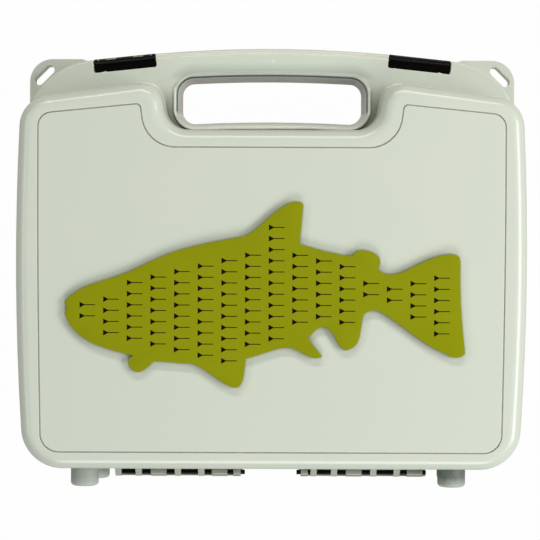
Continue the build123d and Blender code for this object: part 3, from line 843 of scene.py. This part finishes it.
def slit_tree():
    """Geometry nodes that fill an outline with slit foam: a slit upper layer on a whole lower one."""
    tree = bpy.data.node_groups.new("slit_liner", "GeometryNodeTree")

    def add_socket(name, kind, direction="INPUT"):
        tree.interface.new_socket(name, in_out=direction, socket_type=f"NodeSocket{kind}")

    add_socket("Geometry", "Geometry")
    for name in ("Pitch Y", "Slit Length", "Slit Width", "Margin", "Low", "Slit Floor", "High", "Width",
                 "Depth"):
        add_socket(name, "Float")
    add_socket("Columns", "Int")
    add_socket("Rows", "Int")
    add_socket("Finish", "Material")
    add_socket("Geometry", "Geometry", "OUTPUT")
    graph = Graph(tree)
    given = graph.node("NodeGroupInput")

    outline = graph.node("GeometryNodeMeshToCurve", {}, {"Mesh": given})
    whole = graph.node("GeometryNodeFillCurve", {}, {"Curve": outline})

    # A grid of places, each other column shifted by half a pitch
    grid = graph.node("GeometryNodeMeshGrid", {}, {
        "Size X": given.out("Width"), "Size Y": given.out("Depth"),
        "Vertices X": given.out("Columns"), "Vertices Y": given.out("Rows")})
    column = (graph.node("GeometryNodeInputIndex") / given.out("Rows")).floor()
    shift = graph.node("ShaderNodeCombineXYZ", {}, {"Y": column % 2.0 * given.out("Pitch Y") * 0.5})
    staggered = graph.node("GeometryNodeSetPosition", {}, {"Geometry": grid, "Offset": shift})

    # Only the places well inside the outline are kept
    spot = graph.node("GeometryNodeInputPosition")
    edge_gap = graph.node("GeometryNodeProximity", {"target_element": "EDGES"}, {0: given}).out("Distance")
    inside = graph.node("GeometryNodeRaycast", {}, {
        "Target Geometry": whole, "Source Position": graph.vector("ADD", spot, (0.0, 0.0, 1.0)),
        "Ray Direction": (0.0, 0.0, -1.0), "Ray Length": 2.0})
    wanted = inside.out("Is Hit") * (edge_gap > given.out("Margin"))
    kept = graph.node("GeometryNodeDeleteGeometry", {"domain": "POINT"}, {
        "Geometry": staggered, "Selection": wanted < 0.5})

    slit = graph.node("GeometryNodeCurvePrimitiveQuadrilateral", {}, {
        "Width": given.out("Slit Length"), "Height": given.out("Slit Width")})
    slits = graph.node("GeometryNodeInstanceOnPoints", {}, {"Points": kept, "Instance": slit})
    rings = graph.join(outline, graph.node("GeometryNodeRealizeInstances", {}, {0: slits}))
    pierced = graph.node("GeometryNodeFillCurve", {}, {"Curve": rings})
    layers = graph.join(
        *foam_layer(graph, pierced, given.out("Slit Floor"), given.out("High")),
        *foam_layer(graph, whole, given.out("Low"), given.out("Slit Floor")))
    real = graph.node("GeometryNodeRealizeInstances", {}, {0: layers})
    finished = graph.node("GeometryNodeSetMaterial", {}, {"Geometry": real, "Material": given.out("Finish")})
    graph.node("NodeGroupOutput", {}, {0: finished})
    return tree


def slit_liner(half, foam, settings):
    """One foam liner as a plain mesh, made by the slit foam nodes. The lid's is slit from below."""
    low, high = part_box(f"{half}_foam")
    size = high - low
    bottom, top = (low.z, high.z) if half == "base" else (high.z, low.z)
    floor = top - settings.slit_depth if half == "base" else top + settings.slit_depth
    columns = int(size.x / settings.pitch_x) // 2 * 2 + 1
    rows = int(size.y / settings.pitch_y)
    values = {
        "Pitch Y": settings.pitch_y, "Slit Length": settings.slit_length,
        "Slit Width": settings.slit_width, "Margin": settings.margin, "Low": bottom, "Slit Floor": floor,
        "High": top, "Width": (columns - 1) * settings.pitch_x, "Depth": (rows - 1) * settings.pitch_y,
        "Columns": columns, "Rows": rows, "Finish": foam}
    ring = add_object(f"{half}_liner_ring", liner_outline(half))
    made = ring.modifiers.new("slit foam", "NODES")
    made.node_group = bpy.data.node_groups.get("slit_liner") or slit_tree()
    for socket in made.node_group.interface.items_tree:
        if socket.in_out == "INPUT" and socket.name in values:
            made[socket.identifier] = values[socket.name]
    ring.data.update_tag()
    bpy.context.view_layer.update()
    evaluated = ring.evaluated_get(bpy.context.evaluated_depsgraph_get())
    data = bpy.data.meshes.new_from_object(evaluated)
    bpy.data.objects.remove(ring)
    shape = bmesh.new()
    shape.from_mesh(data)
    bmesh.ops.remove_doubles(shape, verts=shape.verts, dist=WELD_DISTANCE / 2)
    bmesh.ops.recalc_face_normals(shape, faces=shape.faces)
    shape.to_mesh(data)
    shape.free()
    data.name = f"{half}_slit_liner"
    return add_object(data.name, data)


def add_softbox(name, power):
    """An area lamp that faces the case."""
    place, size, colour = SOFTBOXES[name]
    lamp = bpy.data.lights.new(f"{name}_softbox", "AREA")
    lamp.shape = "RECTANGLE"
    lamp.size, lamp.size_y = size
    lamp.energy = power
    lamp.color = colour
    made = add_object(lamp.name, lamp)
    made.location = place
    made.rotation_euler = (-Vector(place)).to_track_quat("-Z", "Y").to_euler()


def floor_paper(settings):
    """Pale paper that shows plain white to the camera, and part of that white in reflections."""
    made = bpy.data.materials.new("floor_white")
    graph = blank_graph(made)
    tone = graph.mix(graph.noise(0.4), settings.floor_colour, scaled(settings.floor_colour, 0.9))
    paper = graph.node("ShaderNodeBsdfDiffuse", {}, {"Color": tone})
    glow = graph.node("ShaderNodeEmission", {}, {"Color": WHITE, "Strength": 1.0})
    rays = graph.node("ShaderNodeLightPath")
    seen = rays.out("Is Camera Ray") + settings.floor_gloss * rays.out("Is Glossy Ray")
    mixed = graph.node("ShaderNodeMixShader", {}, {0: settings.floor_lift * seen, 1: paper, 2: glow})
    graph.node("ShaderNodeOutputMaterial", {}, {"Surface": mixed})
    return made


class BOATBOX_OT_studio(bpy.types.Operator):
    """Makes the floor, the lamps, the even light and the camera"""
    bl_idname = "boatbox.studio"
    bl_label = "Make studio"

    def execute(self, context):
        settings = context.scene.boat_box.studio
        self.add_camera(context.scene, settings)
        self.add_floor(settings)
        for name in SOFTBOXES:
            add_softbox(name, getattr(settings, f"{name}_power"))
        self.add_sky(context.scene, settings)
        context.scene.view_settings.view_transform = "Standard"
        return {"FINISHED"}

    def add_camera(self, scene, settings):
        """A long lens straight above the lid."""
        camera = bpy.data.cameras.new("camera")
        camera.sensor_width = SENSOR_WIDTH
        camera.lens = settings.lens
        camera.shift_x = settings.shift_px_x / IMAGE_SIZE
        camera.shift_y = settings.shift_px_y / IMAGE_SIZE
        made = add_object("camera", camera)
        made.location = (0.0, settings.camera_y, settings.camera_height)
        made.rotation_euler = (0.0, 0.0, settings.camera_roll)
        scene.camera = made

    def add_floor(self, settings):
        """A white floor under the case."""
        signs = ((-1, -1), (1, -1), (1, 1), (-1, 1))
        corners = [(x * FLOOR_HALF_SIDE, y * FLOOR_HALF_SIDE, 0) for x, y in signs]
        data = bpy.data.meshes.new("floor")
        data.from_pydata(corners, [], [(0, 1, 2, 3)])
        data.materials.append(floor_paper(settings))
        add_object("floor", data)

    def add_sky(self, scene, settings):
        """Even light from all round, which a camera sees as white."""
        scene.world = bpy.data.worlds.new("studio")
        graph = blank_graph(scene.world)
        seen = graph.node("ShaderNodeLightPath").out("Is Camera Ray")
        strength = settings.sky + seen * (1.0 - settings.sky)
        light = graph.node("ShaderNodeBackground", {}, {"Color": WHITE, "Strength": strength})
        graph.node("ShaderNodeOutputWorld", {}, {"Surface": light})


class BOATBOX_PT_sidebar(bpy.types.Panel):
    """The steps that dress the case, and their settings"""
    bl_idname = "BOATBOX_PT_sidebar"
    bl_label = "Boat Box"
    bl_space_type = "VIEW_3D"
    bl_region_type = "UI"
    bl_category = "Boat Box"

    def draw(self, context):
        for step in STEPS:
            self.layout.operator(step.bl_idname)
        for group_name in BoatBoxSettings.__annotations__:
            group = getattr(context.scene.boat_box, group_name)
            box = self.layout.box()
            box.label(text=group_name.capitalize())
            for name in type(group).__annotations__:
                box.prop(group, name)


STEPS = (
    BOATBOX_OT_studio, BOATBOX_OT_shells, BOATBOX_OT_fly_patch, BOATBOX_OT_liners, BOATBOX_OT_seal,
    BOATBOX_OT_latches, BOATBOX_OT_feet)
CLASSES = (
    ShellSettings, PatchSettings, LinerSettings, TrimSettings, StudioSettings, BoatBoxSettings, *STEPS,
    BOATBOX_PT_sidebar)


def register():
    for cls in CLASSES:
        bpy.utils.register_class(cls)
    bpy.types.Scene.boat_box = PointerProperty(type=BoatBoxSettings)


def unregister():
    del bpy.types.Scene.boat_box
    for cls in reversed(CLASSES):
        bpy.utils.unregister_class(cls)


def main():
    register()
    for step in STEPS:
        group, name = step.bl_idname.split(".")
        getattr(getattr(bpy.ops, group), name)()


if __name__ == "__main__":
    main()
